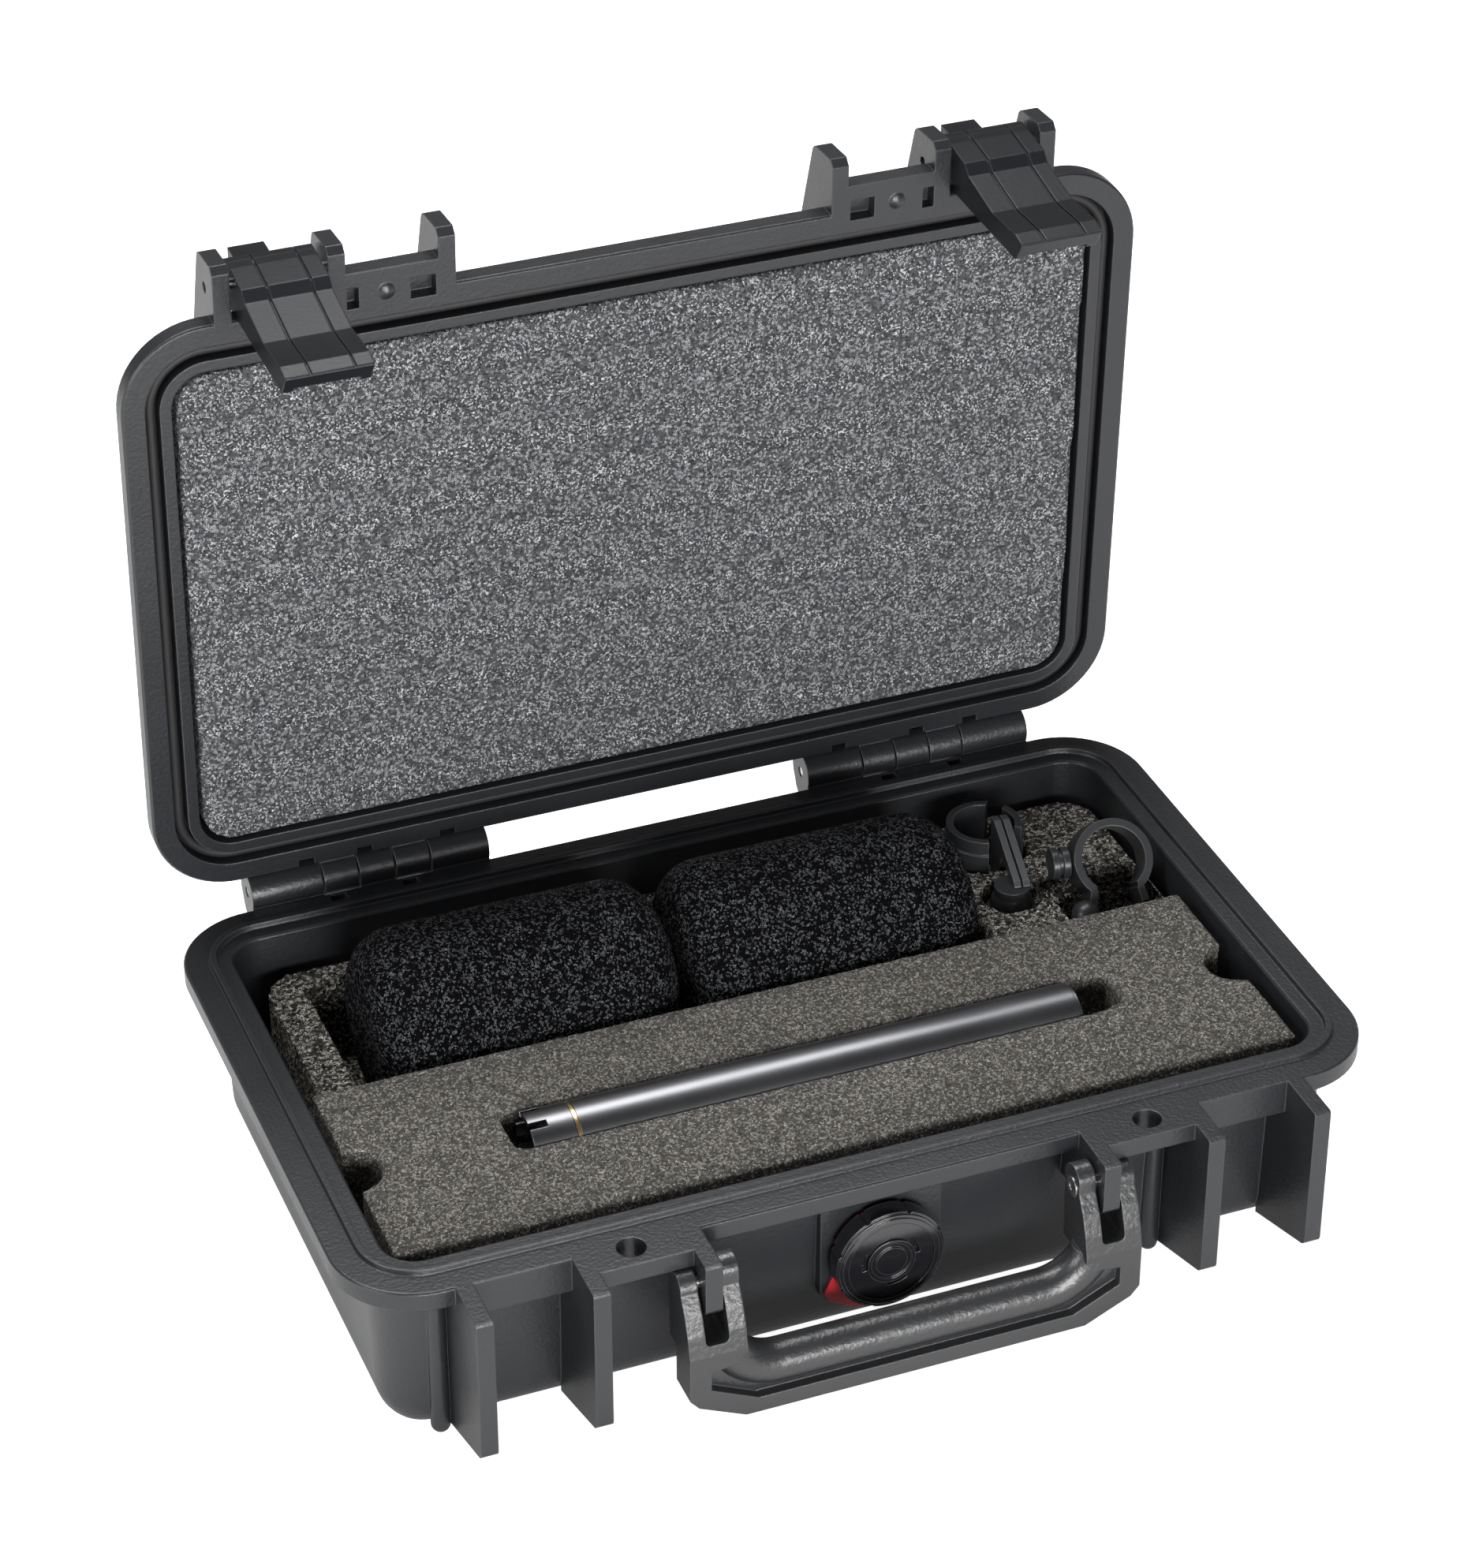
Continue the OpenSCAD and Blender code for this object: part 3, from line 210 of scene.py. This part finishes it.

# %% [markdown]
# ## Plastics, metals and rubber
# One helper lays out a plastic or a metal: base colour with soft patches and a painted highlight
# along the edges, a grain bump on top of rounded edges, and one roughness. Each finish then has its own values.

# %% Rigid finishes
def finish(name, color, rough, metal=0.0, grain_scale=900, bump=0.15, depth=0.00003, edge=0.0006,
           painted_edge_highlight=0.7, patch=0.12, specular=0.5):
    m, nodes, links = new_material(name)
    out, bsdf = nodes.new("ShaderNodeOutputMaterial"), nodes.new("ShaderNodeBsdfPrincipled")
    g, e = nodes.new("ShaderNodeGroup"), nodes.new("ShaderNodeGroup")
    g.node_tree, e.node_tree = grain, rounded_edge_painted_highlight
    g.inputs["Scale"].default_value, g.inputs["Patch Scale"].default_value = grain_scale, 30
    e.inputs["Radius"].default_value = edge
    tone, rim = nodes.new("ShaderNodeMix"), nodes.new("ShaderNodeMix")
    tone.data_type = rim.data_type = "RGBA"
    tone.inputs[6].default_value = (*[c * (1 - patch) for c in color], 1)
    tone.inputs[7].default_value = (*[c * (1 + patch) for c in color], 1)
    # Painted highlight: a paler colour along the edges, where the edge mask is set.
    rim.inputs[7].default_value = (*[min(1, c * (1 + 3 * painted_edge_highlight) + 0.02 * painted_edge_highlight) for c in color], 1)
    links.new(g.outputs["Patches"], tone.inputs[0])
    links.new(tone.outputs[2], rim.inputs[6])
    links.new(e.outputs["Mask"], rim.inputs[0])
    links.new(rim.outputs[2], bsdf.inputs["Base Color"])
    rise, span = nodes.new("ShaderNodeBump"), nodes.new("ShaderNodeMapRange")
    rise.inputs["Strength"].default_value, rise.inputs["Distance"].default_value = bump, depth
    links.new(g.outputs["Height"], rise.inputs["Height"])
    links.new(e.outputs["Normal"], rise.inputs["Normal"])
    links.new(rise.outputs["Normal"], bsdf.inputs["Normal"])
    span.inputs["To Min"].default_value, span.inputs["To Max"].default_value = rough - 0.06, rough + 0.06
    links.new(g.outputs["Patches"], span.inputs["Value"])
    links.new(span.outputs["Result"], bsdf.inputs["Roughness"])
    bsdf.inputs["Metallic"].default_value = metal
    bsdf.inputs["Specular IOR Level"].default_value = specular
    links.new(bsdf.outputs[0], out.inputs["Surface"])
    return m

shell_plastic = finish("shell_plastic", (0.016, 0.017, 0.0195), 0.35, bump=0.8, depth=0.00014, specular=0.65)
latch_plastic = finish("latch_plastic", (0.01, 0.011, 0.013), 0.34, bump=0.5, depth=0.00006, specular=0.3)
grip_plastic = finish("grip_plastic", (0.02, 0.0205, 0.022), 0.35, bump=0.9, depth=0.00018, grain_scale=700,
                      specular=0.8)
gloss_black = finish("gloss_black", (0.01, 0.01, 0.012), 0.13, bump=0.1, edge=0.0004, specular=1.0)
red_tag = finish("red_tag", (0.62, 0.02, 0.03), 0.4, edge=0.0002, painted_edge_highlight=0.05)
seal_rubber = finish("seal_rubber", (0.015, 0.015, 0.015), 0.6, edge=0.0002)
pin_steel = finish("pin_steel", (0.75, 0.75, 0.74), 0.28, metal=1.0, grain_scale=1500, edge=0.0002, painted_edge_highlight=0.0)
mic_black = finish("mic_black", (0.17, 0.172, 0.18), 0.33, metal=1.0, bump=0.25, depth=0.00002, grain_scale=2500,
                   edge=0.0003, painted_edge_highlight=0.1, patch=0.05)
gold_ring = finish("gold_ring", (0.85, 0.6, 0.28), 0.25, metal=1.0, edge=0.0001, painted_edge_highlight=0.0)
clip_plastic = finish("clip_plastic", (0.02, 0.021, 0.023), 0.36, bump=0.2)
clip_plate = finish("clip_plate", (0.06, 0.062, 0.066), 0.36, bump=0.2)
membrane_cloth = finish("membrane_cloth", (0.8, 0.8, 0.79), 0.8, edge=0.0001, painted_edge_highlight=0.0)

finish_of = {
    shell_plastic: ["base_shell", "lid_shell"],
    latch_plastic: ["latch_lever_left", "latch_lever_right", "latch_claw_left", "latch_claw_right"],
    grip_plastic: ["handle"],
    gloss_black: ["valve_stem", "valve_nut", "valve_knob", "valve_cap", "mic_socket"],
    red_tag: ["valve_tag"],
    seal_rubber: ["lid_seal", "valve_seal", "mic_capsule"],
    pin_steel: [f"{kind}_pin_{side}" for kind in ("hinge", "handle", "latch", "claw") for side in ("left", "right")],
    mic_black: ["mic_body", "mic_head"],
    gold_ring: ["mic_ring"],
    clip_plastic: ["clip_left_ring", "clip_left_foot", "clip_right_ring", "clip_right_knob", "clip_right_foot"],
    clip_plate: ["clip_left_yoke"],
    membrane_cloth: ["valve_membrane"]}
for material, names in finish_of.items():
    for name in names:
        for slot in frame["nodes"][name].material_slots: slot.material = material
print("finished nodes", sum(len(names) for names in finish_of.values()))

# %% [markdown]
# ## Foam
# Foam has no smooth face: a knife has opened its cells. Each foam piece starts as a copy of its
# CAD solid, is remeshed into small even faces, and every point is pushed in a little by noise.
# The cells that are too small for the mesh are left to a bump.

# %% Foam finishes
def foam_material(name, dark, light, glint, cell, glint_share, depth, specular=0.3):
    """Cut cells: each cell has its own grey between dark and light, and some cell walls get a painted glint in their
    colour.
    """
    m, nodes, links = new_material(name)
    out, bsdf = nodes.new("ShaderNodeOutputMaterial"), nodes.new("ShaderNodeBsdfPrincipled")
    coord, own = nodes.new("ShaderNodeTexCoord"), nodes.new("ShaderNodeSeparateColor")
    cells, walls = nodes.new("ShaderNodeTexVoronoi"), nodes.new("ShaderNodeTexVoronoi")
    walls.feature = "DISTANCE_TO_EDGE"
    for n in (cells, walls):
        n.inputs["Scale"].default_value = cell
        links.new(coord.outputs["Object"], n.inputs["Vector"])
    links.new(cells.outputs["Color"], own.inputs[0])
    tone, painted_glint_mix = nodes.new("ShaderNodeMix"), nodes.new("ShaderNodeMix")
    tone.data_type = painted_glint_mix.data_type = "RGBA"
    tone.inputs[6].default_value, tone.inputs[7].default_value = (*dark, 1), (*light, 1)
    # Painted highlight: glints on some cell walls are painted into the base colour.
    painted_glint_mix.inputs[7].default_value = (*glint, 1)
    edge, chosen, both = (nodes.new("ShaderNode" + kind) for kind in ("MapRange", "MapRange", "Math"))
    edge.inputs["From Min"].default_value, edge.inputs["From Max"].default_value = 0.2, 0.04
    chosen.inputs["From Min"].default_value = 1 - glint_share
    chosen.inputs["From Max"].default_value = 1.02 - glint_share / 2
    both.operation = "MULTIPLY"
    links.new(own.outputs[0], tone.inputs[0])
    links.new(walls.outputs["Distance"], edge.inputs["Value"])
    links.new(own.outputs[1], chosen.inputs["Value"])
    links.new(edge.outputs["Result"], both.inputs[0])
    links.new(chosen.outputs["Result"], both.inputs[1])
    links.new(both.outputs[0], painted_glint_mix.inputs[0])
    links.new(tone.outputs[2], painted_glint_mix.inputs[6])
    links.new(painted_glint_mix.outputs[2], bsdf.inputs["Base Color"])
    rise = nodes.new("ShaderNodeBump")
    rise.invert = True
    rise.inputs["Strength"].default_value, rise.inputs["Distance"].default_value = 1.0, depth
    links.new(walls.outputs["Distance"], rise.inputs["Height"])
    links.new(rise.outputs["Normal"], bsdf.inputs["Normal"])
    bsdf.inputs["Roughness"].default_value = 0.8
    bsdf.inputs["Specular IOR Level"].default_value = specular
    links.new(bsdf.outputs[0], out.inputs["Surface"])
    return m

lid_foam_look = foam_material("lid_foam_look", (0.016, 0.017, 0.019), (0.095, 0.098, 0.104), (0.66, 0.66, 0.68),
                              cell=1900, glint_share=0.3, depth=0.0004)
tray_foam_look = foam_material("tray_foam_look", (0.026, 0.025, 0.022), (0.1, 0.095, 0.085), (0.5, 0.475, 0.43),
                               cell=2000, glint_share=0.3, depth=0.0004)
rear_foam_look = foam_material("rear_foam_look", (0.008, 0.0076, 0.0068), (0.085, 0.081, 0.073), (0.75, 0.72, 0.65),
                               cell=1300, glint_share=0.42, depth=0.0007, specular=0.1)
screen_look = foam_material("windscreen_look", (0.0006, 0.0006, 0.0007), (0.003, 0.003, 0.0034), (0.15, 0.155, 0.17),
                            cell=1900, glint_share=0.28, depth=0.0004, specular=0.04)

# %% [markdown]
# The microphone lies deeper than its own half, and the tray's foam closes a little over it. The
# CAD model's slot has upright sides, so that the microphone lifts out of it, and the lips are
# drawn in here, where the foam would give way.

# %% Foam pieces
slot_half, lip_half, lip_reach, lip_end = 0.0099, 0.0082, 0.009, 0.004
mic_low, mic_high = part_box("mic_head")[0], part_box("mic_body")[1]
axis_y, axis_z = (mic_low[1] + mic_high[1]) / 2, (mic_low[2] + mic_high[2]) / 2
slot_low, slot_high = mic_low[0] - 0.005, mic_high[0] + 0.013

def slot_lips(co):
    """Draw the upper slot walls in to a round section, at most to lip_half beside the axis."""
    dy, h = co.y - axis_y, co.z - axis_z
    out = max(slot_low - co.x, co.x - slot_high, 0)
    if h <= 0 or abs(dy) > slot_half + lip_reach or out > lip_end: return
    wanted = max(lip_half, math.sqrt(max(0, slot_half ** 2 - h * h)))
    fade = min(1, 1 - (abs(dy) - slot_half) / lip_reach) * (1 - out / lip_end) * min(1, abs(dy) / slot_half)
    co.y -= math.copysign((slot_half - wanted) * fade, dy)

def body_of(node):
    return next(b for b, names in frame["record"]["behaviour"]["bodies"].items() if node in names)

def foam_piece(name, node, material, voxel, dent, cell, shape=None):
    """Copy the CAD solid, remesh it evenly, and dent each point inwards by noise of about one cell."""
    mesh = frame["nodes"][node].data.copy()
    bm = bmesh.new(); bm.from_mesh(mesh)
    bmesh.ops.remove_doubles(bm, verts=bm.verts, dist=1e-6)
    bmesh.ops.recalc_face_normals(bm, faces=bm.faces)
    bm.to_mesh(mesh); bm.free()
    obj = bpy.data.objects.new(name, mesh)
    bpy.context.scene.collection.objects.link(obj)
    even = obj.modifiers.new("even", "REMESH")
    even.mode, even.voxel_size, even.use_smooth_shade = "VOXEL", voxel, True
    done = bpy.data.meshes.new_from_object(obj.evaluated_get(bpy.context.evaluated_depsgraph_get()))
    obj.modifiers.clear(); obj.data = done
    done.materials.clear(); done.materials.append(material)
    if shape:
        for v in done.vertices: shape(v.co)
        done.update()
    normals = [v.normal.copy() for v in done.vertices]
    for v, n in zip(done.vertices, normals):
        v.co -= n * dent * (0.5 + 0.5 * noise.noise(v.co * cell))
    for p in done.polygons: p.use_smooth = True
    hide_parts(node)
    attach(obj, body_of(node))
    print(name, "faces", len(done.polygons))
    return obj

lid_pad = foam_piece("lid_pad", "lid_foam", lid_foam_look, voxel=0.0016, dent=0.0004, cell=500)
foam_piece("rear_block", "rear_foam", rear_foam_look, voxel=0.0015, dent=0.0006, cell=450)
foam_piece("tray_block", "tray_foam", tray_foam_look, voxel=0.0014, dent=0.0004, cell=600,
           shape=slot_lips)
for side in ("left", "right"):
    foam_piece(f"screen_{side}", f"windscreen_{side}", screen_look, voxel=0.0009, dent=0.0006, cell=800)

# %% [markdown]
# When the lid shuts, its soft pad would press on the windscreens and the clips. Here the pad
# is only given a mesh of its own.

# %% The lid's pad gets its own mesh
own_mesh(lid_pad)
